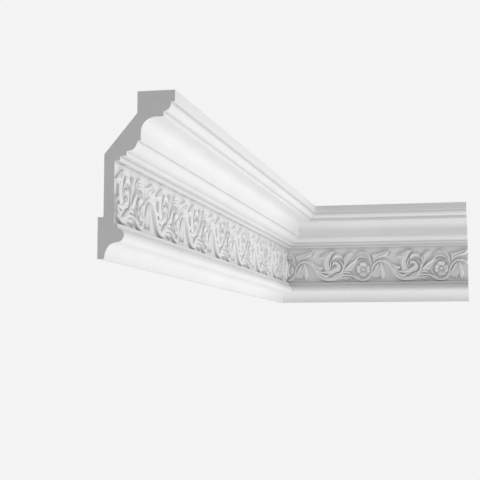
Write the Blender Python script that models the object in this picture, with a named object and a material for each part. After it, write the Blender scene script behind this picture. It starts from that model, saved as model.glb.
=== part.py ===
"""Cornice moulding with a scrolling frieze: two lengths of one section that meet in an inside corner.

Blender 4.5, metres, +Z up. The long length runs along Y on the left wall, whose face is X = 0.
The short length runs along X on the back wall. The origin lies on the wall foot of the long
length, halfway along it and halfway up the foot.
"""

import math

import bmesh
import bpy
from mathutils import Vector
from mathutils.geometry import delaunay_2d_cdt

MM = 0.001

# Driving dimensions of the two lengths
HEIGHT = 0.170
LEFT_LENGTH = 1.003
BACK_LENGTH = 0.3455
MITRE_GAP = 0.0003
SPARE_LENGTH = 0.020

# Back of the section: wall foot, relief behind the frieze, chamfer and ceiling face
FOOT_HEIGHT = 0.0426
BACK_RELIEF = 0.006
CHAMFER_BOTTOM = 0.1068
CHAMFER_TOP = 0.1478
CEILING_FACE_START = 0.0405

# Front of the section from the ceiling down, each reach measured out from the wall
LIP_REACH = 0.0800
LIP_BOTTOM = 0.1580
UPPER_OVOLO_REACH = 0.0758
UPPER_OVOLO_RADIUS = 0.0076
UPPER_OVOLO_TOP = 0.1562
UPPER_FILLET_BOTTOM = 0.1432
COVE_RADIUS = 0.0153
COVE_REACH = 0.0444
COVE_BOTTOM = 0.1194
LOWER_OVOLO_REACH = 0.0411
LOWER_OVOLO_DROP = 0.0093
LOWER_OVOLO_IN = 0.0055
LOWER_OVOLO_SAG = 0.0012
CROWN_SOFFIT_DROP = 0.0012
CROWN_FILLET_REACH = 0.0296
CROWN_FILLET_BOTTOM = 0.1045
FRIEZE_FILLET_REACH = 0.0227
FRIEZE_TOP = 0.0998
FRIEZE_REACH = 0.0170
FRIEZE_BOTTOM = 0.0358
FOOT_FILLET_REACH = 0.0210
TORUS_RADIUS = 0.0070
TORUS_REACH = 0.0207
TORUS_HEIGHT = 0.0240
FOOT_COVE_REACH = 0.0137
FOOT_COVE_TOP = 0.0150
FOOT_COVE_TOE = 0.0072
FOOT_COVE_SAG = -0.0018

# The frieze ornament is laid out in millimetres: u along the length from a crest of the vine,
# v up from the bottom of the frieze. A stroke point is (u, v, half width, height).
REPEAT = 140.5
BAND = (FRIEZE_TOP - FRIEZE_BOTTOM) / MM
LEFT_CREST = -1030.2
BACK_CREST = 49.8
ROSETTE = (-32.0, 24.0)
PETALS = 4
PETAL_REACH = 13.6
PETAL_GAP_REACH = 10.2
PETAL_HEIGHT = 4.4
PETAL_FOOT_HEIGHT = 1.8
GAP_HEIGHT = 1.1
BOSS_RADIUS = 3.2
BOSS_TOP_RADIUS = 1.7
BOSS_HEIGHT = 4.6
FIRST_GAP = 45
SPOKES = 4 * PETALS
EYE = (56.5, 33.2)

# How closely the flat facets follow the curved strokes
STATION_TURN = math.radians(28)
STATION_LENGTH = 13.0
SHORTEST_TIP = 4.5
WIDEST_STROKE = 6.0
MERGE = 0.3
FLAT = 0.25
VINE_CROWN = 0.42

WHITE = (0.83, 0.83, 0.83, 1.0)


def arc(centre, radius, start, end, steps):
    """Points of a circular arc in the section, angles in degrees from +X towards +Z."""
    points = []
    for i in range(steps + 1):
        angle = math.radians(start + (end - start) * i / steps)
        points.append((centre[0] + radius * math.cos(angle), centre[1] + radius * math.sin(angle)))
    return points


def bulge(start, end, sag, steps):
    """Points of a shallow curve from start to end that stands out by sag on the left of its chord."""
    chord = Vector(end) - Vector(start)
    side = Vector((-chord.y, chord.x)).normalized()
    points = []
    for i in range(steps + 1):
        f = i / steps
        points.append(tuple(Vector(start) + chord * f + side * sag * 4 * f * (1 - f)))
    return points


def front_above_frieze():
    """Section from the ceiling face down to the fillet over the frieze."""
    upper_ovolo = (UPPER_OVOLO_REACH - UPPER_OVOLO_RADIUS, UPPER_OVOLO_TOP)
    cove = (COVE_REACH + COVE_RADIUS, UPPER_FILLET_BOTTOM - COVE_RADIUS)
    ovolo_top = (LOWER_OVOLO_REACH, COVE_BOTTOM)
    ovolo_end = (LOWER_OVOLO_REACH - LOWER_OVOLO_IN, COVE_BOTTOM - LOWER_OVOLO_DROP)
    points = [(LIP_REACH, HEIGHT), (LIP_REACH, LIP_BOTTOM), (UPPER_OVOLO_REACH, LIP_BOTTOM)]
    points += arc(upper_ovolo, UPPER_OVOLO_RADIUS, 0, -90, 5)
    points += [(upper_ovolo[0], UPPER_FILLET_BOTTOM)]
    points += arc(cove, COVE_RADIUS, 90, 180, 8)
    points += [(COVE_REACH, COVE_BOTTOM)]
    points += bulge(ovolo_top, ovolo_end, LOWER_OVOLO_SAG, 4)
    points += [(CROWN_FILLET_REACH, ovolo_end[1] - CROWN_SOFFIT_DROP)]
    points += [(CROWN_FILLET_REACH, CROWN_FILLET_BOTTOM)]
    points += [(FRIEZE_FILLET_REACH, CROWN_FILLET_BOTTOM), (FRIEZE_FILLET_REACH, FRIEZE_TOP)]
    return points


def front_below_frieze():
    """Section from the fillet under the frieze down to the toe."""
    points = [(FOOT_FILLET_REACH, FRIEZE_BOTTOM)]
    points += arc((TORUS_REACH, TORUS_HEIGHT), TORUS_RADIUS, 87, -96, 9)
    points += bulge((FOOT_COVE_REACH, FOOT_COVE_TOP), (FOOT_COVE_TOE, 0.0), FOOT_COVE_SAG, 5)
    return points


def back():
    """Section round the back, from the toe on the wall up to the ceiling face."""
    return [
        (0.0, 0.0),
        (0.0, FOOT_HEIGHT),
        (BACK_RELIEF, FOOT_HEIGHT),
        (BACK_RELIEF, CHAMFER_BOTTOM),
        (CEILING_FACE_START, CHAMFER_TOP),
        (CEILING_FACE_START, HEIGHT),
    ]


def spiral(centre, radii, angles, widths, heights, steps):
    """Stroke along a spiral arc; radius, half width and height change evenly along it."""
    points = []
    for i in range(steps + 1):
        f = i / steps
        radius, degrees, width, height = (
            pair[0] + (pair[1] - pair[0]) * f for pair in (radii, angles, widths, heights)
        )
        angle = math.radians(degrees)
        u = centre[0] + radius * math.cos(angle)
        v = centre[1] + radius * math.sin(angle)
        points.append((u, v, width, height))
    return points


def vine():
    """The running vine: under the rosette, up to the crest and down into the trough."""
    return [
        [
            (-75.5, 13.0, 2.6, 3.4),
            (-54.0, 7.5, 2.2, 2.8),
            (-44.0, 4.2, 2.6, 3.2),
            (-34.0, 3.6, 2.8, 3.4),
            (-25.0, 6.5, 3.0, 3.6),
            (-18.5, 14.0, 3.0, 3.8),
            (-15.8, 23.0, 3.2, 4.0),
            (-12.5, 31.0, 3.0, 4.0),
            (-6.0, 37.0, 2.6, 3.6),
            (1.0, 38.8, 2.6, 3.4),
            (8.5, 36.8, 2.8, 3.6),
            (15.0, 32.0, 3.4, 3.9),
            (27.5, 17.0, 4.2, 4.4),
            (34.5, 9.5, 4.2, 4.4),
            (42.0, 5.6, 4.0, 4.2),
            (50.0, 5.4, 3.8, 4.0),
            (58.0, 8.0, 3.4, 3.8),
            (66.0, 13.5, 2.6, 3.6),
        ]
    ]


def node_leaves():
    """The shoot, the two upper leaves and the small lower leaves that spring from the node."""
    return [
        [(64, 13, 2.6, 3.8), (69.5, 21, 2, 4), (71.5, 29, 1.8, 4), (69.5, 37, 1.4, 3.4), (63, 41.5, 0, 0)],
        [(70, 22, 1.8, 3.6), (75, 34, 3.4, 4.0), (81, 45, 4.2, 4.2), (86.5, 54.5, 0, 0)],
        [(70, 20, 1.8, 3.2), (79.5, 26, 4.0, 3.8), (89.5, 34, 4.2, 3.8), (100, 45, 0, 0)],
        [(64, 13, 2.0, 3.0), (74, 17, 2.6, 3.0), (88, 14.5, 0, 0)],
        [(60, 9, 3.0, 3.2), (73, 8.2, 3.0, 3.2), (86, 3.0, 0, 0)],
    ]


def scroll():
    """The curled acanthus leaf: its side tip, two outer folds and the volute inside them."""
    return [
        [(46, 10, 2.2, 3.2), (43.5, 20, 3, 3.8)]
        + spiral((56.5, 34.5), (18.4, 20.8), (200, 122), (3.6, 3.4), (4.6, 5.0), 3)
        + [(55.5, 56.5, 0, 0)],
        [(40, 39, 2.6, 4.0), (36, 46, 2.4, 3.8), (27.5, 47, 0, 0)],
        [(50, 18, 2.2, 3.2)]
        + spiral(EYE, (12.8, 15.8), (205, 95), (3.0, 3.2), (4.0, 4.4), 4)
        + [(64, 50.5, 2.8, 4.0), (71, 44, 0, 0)],
        spiral(EYE, (14.4, 3.6), (84, -270), (2.4, 1.7), (3.0, 4.6), 11) + [(*EYE, 0, 0)],
    ]


def sheath():
    """Lobes that lift off the upper side of the falling vine."""
    return [
        [(17, 32, 2.0, 3.8), (28, 26, 3.0, 4.4), (35.5, 28, 0, 0)],
        [(24, 23.5, 2.4, 4.2), (34.5, 18, 3.0, 4.6), (42, 20, 0, 0)],
        [(31, 16, 2.4, 4.2), (40.5, 11.5, 3.0, 4.6), (48.5, 13.5, 0, 0)],
    ]


def ring():
    """The branch that circles the rosette and the leaf that folds over it."""
    return [
        spiral(ROSETTE, (18.4, 17.4), (20, 262), (2.4, 1.6), (3.8, 3.2), 9),
        [(-13, 31, 2, 3.6), (-15, 42, 2.6, 4), (-21, 50, 2.8, 4), (-31, 54.5, 2.4, 3.6), (-45, 53.5, 0, 0)],
    ]


def long_leaf():
    """The leaf that points along the frieze above the crest."""
    return [
        [(-13.5, 42, 1.6, 3.2), (-3, 49, 2.8, 3.8), (9, 53, 2.8, 3.8), (18.5, 58.5, 0, 0)],
        [(-11, 42, 1.6, 3.0), (0, 45.8, 2.2, 3.4), (12, 47.5, 0, 0)],
    ]


def hanging_leaf():
    """Four lobes that hang under the crest and part near their tips."""
    base = Vector((-1.5, 34.0))
    lobes = []
    for tip in ((4.0, 3.6), (-4.2, 4.0), (-10.8, 4.6), (-16.8, 6.8)):
        upper = base.lerp(Vector(tip), 0.5)
        lower = base.lerp(Vector(tip), 0.8)
        lobes.append(
            [(*base, 1.4, 2.6), (upper.x - 0.8, upper.y, 2.9, 3.5), (*lower, 3.1, 3.3), (*tip, 0, 0)]
        )
    return lobes


def strokes():
    """Every stroke of one repeat of the ornament."""
    groups = (vine, node_leaves, scroll, sheath, ring, long_leaf, hanging_leaf)
    return [stroke for group in groups for stroke in group()]


def curve(stroke, steps=10):
    """Catmull-Rom curve through a stroke's points."""
    points = [Vector(point) for point in stroke]
    points = [2 * points[0] - points[1]] + points + [2 * points[-1] - points[-2]]
    fine = []
    for a, b, c, d in zip(points, points[1:], points[2:], points[3:]):
        for k in range(steps):
            t = k / steps
            fine.append(
                0.5 * (2 * b + (c - a) * t + (2 * a - 5 * b + 4 * c - d) * t * t
                       + (3 * b - a - 3 * c + d) * t ** 3)
            )
    fine.append(points[-2])
    return fine


def stations(stroke):
    """Points of the curve, kept where it has turned or run far enough since the last one."""
    fine = curve(stroke)
    kept = [fine[0]]
    turned = 0.0
    for before, here, after in zip(fine, fine[1:], fine[2:]):
        turned += abs((here - before).xy.angle_signed((after - here).xy, 0.0))
        if turned > STATION_TURN or (here - kept[-1]).xy.length > STATION_LENGTH:
            kept.append(here)
            turned = 0.0
    if len(kept) > 1 and (fine[-1] - kept[-1]).xy.length < SHORTEST_TIP:
        kept.pop()
    return kept + [fine[-1]]


def outline(line, share):
    """The two lines that run along a faceted stroke at this share of its half width."""
    left, right = [], []
    for i, point in enumerate(line):
        ahead = line[min(i + 1, len(line) - 1)]
        behind = line[max(i - 1, 0)]
        along = (ahead - behind).xy.normalized()
        side = Vector((-along.y, along.x)) * point.z * share
        left.append(point.xy + side)
        right.append(point.xy - side)
    return left, right


def tent(line, crown, spot):
    """Height at a spot of a faceted stroke, which falls evenly from its flat crown to its sides."""
    best = 0.0
    for a, b in zip(line, line[1:]):
        along = (b - a).xy
        f = min(max((spot - a.xy).dot(along) / along.length_squared, 0.0), 1.0)
        here = a + (b - a) * f
        if here.z > 0:
            share = (spot - here.xy).length / here.z
            best = max(best, here.w * min(1, (1 - share) / (1 - crown)))
    return best


def spoke(k):
    """Reach and height of the rosette along one of its directions, from the boss outwards."""
    boss = [(0, BOSS_HEIGHT), (BOSS_TOP_RADIUS, BOSS_HEIGHT)]
    if k % (SPOKES // PETALS) == 0:
        gap = [(BOSS_RADIUS, GAP_HEIGHT), (0.6 * PETAL_GAP_REACH, GAP_HEIGHT), (PETAL_GAP_REACH, 0)]
        return boss + gap
    return boss + [(BOSS_RADIUS, PETAL_FOOT_HEIGHT), (0.8 * PETAL_REACH, PETAL_HEIGHT), (PETAL_REACH, 0)]


def along_spoke(k, reach):
    """Height of the rosette on one of its directions."""
    profile = spoke(k % SPOKES)
    for (r0, h0), (r1, h1) in zip(profile, profile[1:]):
        if reach <= r1:
            return h0 + (h1 - h0) * (reach - r0) / (r1 - r0)
    return 0.0


def rosette_height(offset):
    """Height of the rosette at an offset from its centre."""
    turn = (math.degrees(math.atan2(offset.y, offset.x)) - FIRST_GAP) % 360 / 360 * SPOKES
    k = math.floor(turn)
    f = turn - k
    reach = offset.length
    return along_spoke(k, reach) * (1 - f) + along_spoke(k + 1, reach) * f


class Plan:
    """Points, edges and faceted strokes of the ornament, seen square to the frieze."""

    def __init__(self):
        self.spots = []
        self.edges = []
        self.lines = []
        self.rosettes = []

    def add(self, spots, closed=False):
        first = len(self.spots)
        self.spots += [Vector(spot) for spot in spots]
        self.edges += [(first + i, first + i + 1) for i in range(len(spots) - 1)]
        if closed:
            self.edges.append((first + len(spots) - 1, first))

    def add_stroke(self, line, crown):
        self.lines.append((line, crown))
        left, right = outline(line, 1.0)
        self.add(left + right[::-1], closed=True)
        if crown:
            for side in outline(line, crown):
                self.add(side)
        else:
            self.add([point.xy for point in line])

    def add_rosette(self, centre):
        self.rosettes.append(centre)
        self.add([centre])
        for level in range(1, len(spoke(0))):
            circle = []
            for k in range(SPOKES):
                angle = math.radians(FIRST_GAP + 360 * k / SPOKES)
                circle.append(centre + spoke(k)[level][0] * Vector((math.cos(angle), math.sin(angle))))
            self.add(circle, closed=True)

    def height(self, spot):
        """Height of the ornament over a point of the frieze."""
        heights = [0.0]
        for line, crown in self.lines:
            if any((point.xy - spot).length < STATION_LENGTH + WIDEST_STROKE for point in line):
                heights.append(tent(line, crown, spot))
        for centre in self.rosettes:
            if (spot - centre).length < PETAL_REACH:
                heights.append(rosette_height(spot - centre))
        return max(heights) if max(heights) > FLAT else 0.0


def frieze(crest, start, end):
    """Triangles of the ornamented frieze from start to end: (u, height, v) points and faces."""
    plan = Plan()
    plan.add([(start, 0), (end, 0), (end, BAND), (start, BAND)], closed=True)
    pattern = [(stations(stroke), VINE_CROWN if stroke in vine() else 0) for stroke in strokes()]
    first = math.floor((start - crest) / REPEAT) - 1
    last = math.ceil((end - crest) / REPEAT) + 1
    for i in range(first, last + 1):
        shift = crest + i * REPEAT
        for line, crown in pattern:
            moved = [Vector((point.x + shift, point.y, point.z, point.w)) for point in line]
            if max(point.x for point in moved) > start and min(point.x for point in moved) < end:
                plan.add_stroke(moved, crown)
        centre = Vector((ROSETTE[0] + shift, ROSETTE[1]))
        if start - PETAL_REACH < centre.x < end + PETAL_REACH:
            plan.add_rosette(centre)
    spots, _, faces, *_ = delaunay_2d_cdt(plan.spots, plan.edges, [], 0, MERGE)
    inside = []
    for face in faces:
        middle = sum((spots[i] for i in face), Vector((0, 0))) / 3
        if start < middle.x < end and 0 < middle.y < BAND:
            inside.append(face)
    points = []
    for spot in spots:
        on_edge = spot.y < MERGE or spot.y > BAND - MERGE
        points.append((spot.x, 0.0 if on_edge else plan.height(spot), spot.y))
    return points, inside


def add_frieze(mesh, crest, start, end):
    """Adds the frieze to the mesh and returns its bottom and top corner vertices, start before end."""
    points, faces = frieze(crest, start / MM, end / MM)
    used = sorted({i for face in faces for i in face})
    verts = {}
    for i in used:
        u, height, v = points[i]
        verts[i] = mesh.verts.new((FRIEZE_REACH + height * MM, u * MM, FRIEZE_BOTTOM + v * MM))
    for face in faces:
        mesh.faces.new([verts[i] for i in face])

    def corner(u, v):
        return min(verts.values(), key=lambda vert: (vert.co.y - u) ** 2 + (vert.co.z - v) ** 2)

    return [[corner(u, v) for u in (start, end)] for v in (FRIEZE_BOTTOM, FRIEZE_TOP)]


def cut(mesh, point, outward):
    """Cuts the mesh off flat and closes the cut."""
    everything = mesh.verts[:] + mesh.edges[:] + mesh.faces[:]
    bmesh.ops.bisect_plane(
        mesh, geom=everything, dist=0.02 * MM, plane_co=point, plane_no=outward, clear_outer=True
    )
    rim = [
        edge for edge in mesh.edges
        if edge.is_boundary and all(abs((v.co - point).dot(outward)) < 0.1 * MM for v in edge.verts)
    ]
    bmesh.ops.holes_fill(mesh, edges=rim, sides=0)


def moulding(start, end, crest, cuts):
    """One length in its own frame: X out from the wall, Y along it, Z up from the toe."""
    mesh = bmesh.new()
    bottom, top = add_frieze(mesh, crest, start, end)
    rails = [
        [mesh.verts.new((x, y, z)) for y in (start, end)] for x, z in front_above_frieze()
    ]
    rails += [top, bottom]
    rails += [
        [mesh.verts.new((x, y, z)) for y in (start, end)] for x, z in front_below_frieze() + back()
    ]
    frieze_strip = len(front_above_frieze())
    for i, rail in enumerate(rails):
        following = rails[(i + 1) % len(rails)]
        if i != frieze_strip:
            mesh.faces.new([rail[0], rail[1], following[1], following[0]])
    for point, outward in cuts:
        cut(mesh, Vector(point), Vector(outward).normalized())
    bmesh.ops.remove_doubles(mesh, verts=mesh.verts, dist=0.02 * MM)
    bmesh.ops.recalc_face_normals(mesh, faces=mesh.faces)
    return mesh


def add_object(name, mesh, turned, material):
    """Puts one length on its wall, turned about the vertical at the corner."""
    data = bpy.data.meshes.new(name)
    mesh.to_mesh(data)
    mesh.free()
    data.materials.append(material)
    obj = bpy.data.objects.new(name, data)
    obj.location = (0, LEFT_LENGTH / 2, -FOOT_HEIGHT / 2)
    obj.rotation_euler = (0, 0, turned)
    bpy.context.scene.collection.objects.link(obj)


def white_foam():
    material = bpy.data.materials.new("primed_white_foam")
    material.use_nodes = True
    shader = material.node_tree.nodes["Principled BSDF"]
    shader.inputs["Base Color"].default_value = WHITE
    shader.inputs["Roughness"].default_value = 0.6
    return material


def main():
    for obj in list(bpy.data.objects):
        bpy.data.objects.remove(obj)
    material = white_foam()
    half_gap = MITRE_GAP / 2 * math.sqrt(2)
    left = moulding(
        -LEFT_LENGTH - SPARE_LENGTH,
        SPARE_LENGTH,
        LEFT_CREST,
        [((0, -LEFT_LENGTH, 0), (0, -1, 0)), ((0, -half_gap, 0), (1, 1, 0))],
    )
    add_object("left_run", left, 0.0, material)
    back_length = moulding(
        -SPARE_LENGTH,
        BACK_LENGTH + SPARE_LENGTH,
        BACK_CREST,
        [((0, BACK_LENGTH, 0), (0, 1, 0)), ((0, half_gap, 0), (1, -1, 0))],
    )
    add_object("back_run", back_length, math.radians(-90), material)


main()
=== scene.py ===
"""Looks of a cornice moulding in primed foam: fine profile, cast frieze relief, finish, studio light."""
import math

import bmesh
import bpy
import numpy as np
from mathutils import Matrix, Vector


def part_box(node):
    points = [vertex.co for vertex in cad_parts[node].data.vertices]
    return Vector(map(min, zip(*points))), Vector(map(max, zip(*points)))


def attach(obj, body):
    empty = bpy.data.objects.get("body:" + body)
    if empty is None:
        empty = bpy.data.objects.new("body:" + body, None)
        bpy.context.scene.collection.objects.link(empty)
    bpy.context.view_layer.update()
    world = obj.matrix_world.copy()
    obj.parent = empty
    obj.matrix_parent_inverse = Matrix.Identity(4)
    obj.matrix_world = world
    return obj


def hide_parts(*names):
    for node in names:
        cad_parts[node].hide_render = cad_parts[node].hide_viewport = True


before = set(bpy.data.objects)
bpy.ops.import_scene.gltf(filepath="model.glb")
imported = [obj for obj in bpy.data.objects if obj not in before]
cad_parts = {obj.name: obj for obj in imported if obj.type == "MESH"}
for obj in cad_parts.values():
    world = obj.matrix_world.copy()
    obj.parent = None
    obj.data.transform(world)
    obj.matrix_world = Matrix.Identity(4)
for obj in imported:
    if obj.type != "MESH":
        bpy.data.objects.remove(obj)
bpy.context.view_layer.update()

MM = 0.001

# Lengths from the frame: the corner of the two walls is at the far end of the long length
LEFT_LOW, LEFT_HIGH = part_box("left_run")
BACK_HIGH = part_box("back_run")[1]
TOE = LEFT_LOW.z
HEIGHT = LEFT_HIGH.z - LEFT_LOW.z
CORNER_Y = BACK_HIGH.y
LEFT_LENGTH = CORNER_Y - LEFT_LOW.y
BACK_LENGTH = BACK_HIGH.x

# Sawing: each length is made too long, then cut, at its square end a hair inside the frame's box. What
# lies within the snap of a cut counts as on it, and so do edges within the slack when the cut is closed
SPARE_LENGTH = 20 * MM
MITRE_GAP = 0.3 * MM
MITRE_SHIFT = MITRE_GAP / 2 * math.sqrt(2)
SAW_ALLOWANCE = 0.03 * MM
SAW_SNAP = 0.01 * MM
SAW_SLACK = 0.1 * MM
SAWN_SLOT = 1

# Back of the section: wall foot, relief behind the frieze, chamfer and ceiling face
FOOT_HEIGHT = 42.6 * MM
BACK_RELIEF = 6.0 * MM
CHAMFER_BOTTOM = 106.8 * MM
CHAMFER_TOP = 147.8 * MM
CEILING_FACE_START = 40.5 * MM

# Front of the section from the ceiling down, each reach measured out from the wall
LIP_REACH = LEFT_HIGH.x
LIP_BOTTOM = 158.0 * MM
UPPER_OVOLO_REACH = 75.8 * MM
UPPER_OVOLO_RADIUS = 7.6 * MM
UPPER_OVOLO_TOP = 156.2 * MM
UPPER_FILLET_BOTTOM = 143.2 * MM
COVE_RADIUS = 15.3 * MM
COVE_REACH = 44.4 * MM
COVE_BOTTOM = 119.4 * MM
LOWER_OVOLO_REACH = 41.1 * MM
LOWER_OVOLO_DROP = 9.3 * MM
LOWER_OVOLO_IN = 5.5 * MM
LOWER_OVOLO_SAG = 1.2 * MM
CROWN_SOFFIT_DROP = 1.2 * MM
CROWN_FILLET_REACH = 29.6 * MM
CROWN_FILLET_BOTTOM = 104.5 * MM
FRIEZE_FILLET_REACH = 22.7 * MM
FRIEZE_TOP = 99.8 * MM
FRIEZE_REACH = 17.0 * MM
FRIEZE_BOTTOM = 35.8 * MM
FOOT_FILLET_REACH = 21.0 * MM
TORUS_RADIUS = 7.0 * MM
TORUS_REACH = 20.7 * MM
TORUS_HEIGHT = 24.0 * MM
TORUS_START = 87
TORUS_END = -96
FOOT_COVE_REACH = 13.7 * MM
FOOT_COVE_TOP = 15.0 * MM
FOOT_COVE_TOE = 7.2 * MM
FOOT_COVE_SAG = -1.8 * MM

# How the section is drawn: steps of its arcs, eased arrises, and the angle up to which it shades smooth
ARC_STEP = math.radians(6)
ARRIS_RADIUS = 0.5 * MM
ARRIS_STEPS = 3
ARRIS_SHARE = 0.45
SMOOTH_UNDER = math.radians(32)

# The relief, in millimetres: u along the length from a crest of the vine, v up from the frieze's foot
REPEAT = 140.5
BAND = (FRIEZE_TOP - FRIEZE_BOTTOM) / MM
LEFT_CREST = -1030.2
BACK_CREST = 49.8
ROSETTE = (-32.8, 24.0)
EYE = (56.1, 31.9)
EYE_RADIUS = 1.7
EYE_DEPTH = 0.95

# Strokes: the ring lowered round each, a vein's width, the least width, and the room searched round a line
RING_WIDTH = 0.8
VEIN_WIDTH = 0.55
LEAST_WIDTH = 0.02
LINE_ROOM = 2.0

# The rosette: how wide it is to its height, its petals' tips, dish, rolled rim and vein, and its boss
ROSETTE_WIDTH = 0.93
PETALS = 4
PETAL_START = 3.0
PETAL_REACH = 13.8
PETAL_TAPER = 0.27
TIP_NOTCH = 0.10
TIP_NOTCH_WIDTH = 0.14
DISH_START = 3.4
DISH_RUN = 7.6
DISH_LOW = 0.4
DISH_RISE = 5.4
RIM_START = 0.78
RIM_RUN = 0.22
PETAL_VEIN = 0.22
PETAL_VEIN_WIDTH = 0.13
PETAL_VEIN_FULL = 11.0
BOSS_RADIUS = 3.1
BOSS_HEIGHT = 6.4
ROSETTE_CLEARS = 14.4
GROUND_LEFT = 0.2

# The finish of the relief: softening, greatest height, and fades at the band's edges and the sawn ends
CASTING_BLUR = 0.22
CROWN = 4.8
MARGIN = 1.2
END_FADE = 1.5

# The height field's grid, the fine mesh's step, and the triangles wanted of each frieze before sawing
GRID = 0.25
COLUMNS = round(REPEAT / GRID)
ROWS = round(BAND / GRID) + 1
PATCH_STEP = 0.45
EDGE_SLACK = 0.05 * MM
LEFT_FACES = 172000
BACK_FACES = 150000

# The photograph's camera, placed from the corner at ceiling height in units of the section's height
CAMERA_FROM_CORNER = Vector((2.28467717, -12.2554137, -1.55645912))
CAMERA_YAW = math.radians(-12.58424)
CAMERA_PITCH = math.radians(5.73009)
CAMERA_ROLL = math.radians(0.11331)
CAMERA_LENS = 85.18
SENSOR = 36.0

# The studio: the moulding hangs at ceiling height over a round glowing floor, before a bright backdrop
FLOOR_DROP = 2.5
FLOOR_RADIUS = 8.0
FLOOR_SIDES = 96
FLOOR_GLOW = 0.40
AMBIENT = 0.30
BACKDROP = 0.60

# The backdrop starts and is full where a direction's part towards the far side reaches these values
BACKDROP_START = 0.55
BACKDROP_FULL = 0.86

# Lamps: name, azimuth and elevation in degrees, and power in watts
LAMP_DISTANCE = 2.2
LAMP_DIAMETER = 0.8
LAMPS = (
    ("right", 90, 5, 13.6),
    ("far_right", 120, 5, 10.4),
    ("low_right", 60, -70, 12.2),
)

# Where a cloudy noise takes a material's darker and its lighter tone
TONE_STOPS = (0.30, 0.75)


def spiral(centre, radii, angles, count):
    """Points on a spiral arc; the radius and the angle in degrees change evenly."""
    radius = np.linspace(*radii, count)
    angle = np.radians(np.linspace(*angles, count))
    return np.stack([centre[0] + radius * np.cos(angle), centre[1] + radius * np.sin(angle)], axis=1)


def widened(points, left, right, height):
    """Stroke points (u, v, left width, right width, height) from even runs between given values."""
    count = len(points)
    runs = []
    for values in (left, right, height):
        values = np.atleast_1d(values)
        runs.append(np.interp(np.linspace(0, 1, count), np.linspace(0, 1, len(values)), values))
    return np.column_stack([points, *runs])


def curve(points, steps=8):
    """Catmull-Rom curve through the rows of points."""
    p = np.asarray(points, float)
    p = np.vstack([2 * p[0] - p[1], p, 2 * p[-1] - p[-2]])
    a, b, c, d = (p[i:len(p) - 3 + i, None] for i in range(4))
    t = (np.arange(steps) / steps)[None, :, None]
    square, cube = 2 * a - 5 * b + 4 * c - d, 3 * b - a - 3 * c + d
    fine = 0.5 * (2 * b + (c - a) * t + square * t**2 + cube * t**3)
    return np.vstack([fine.reshape(-1, p.shape[1]), p[-2]])


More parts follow.
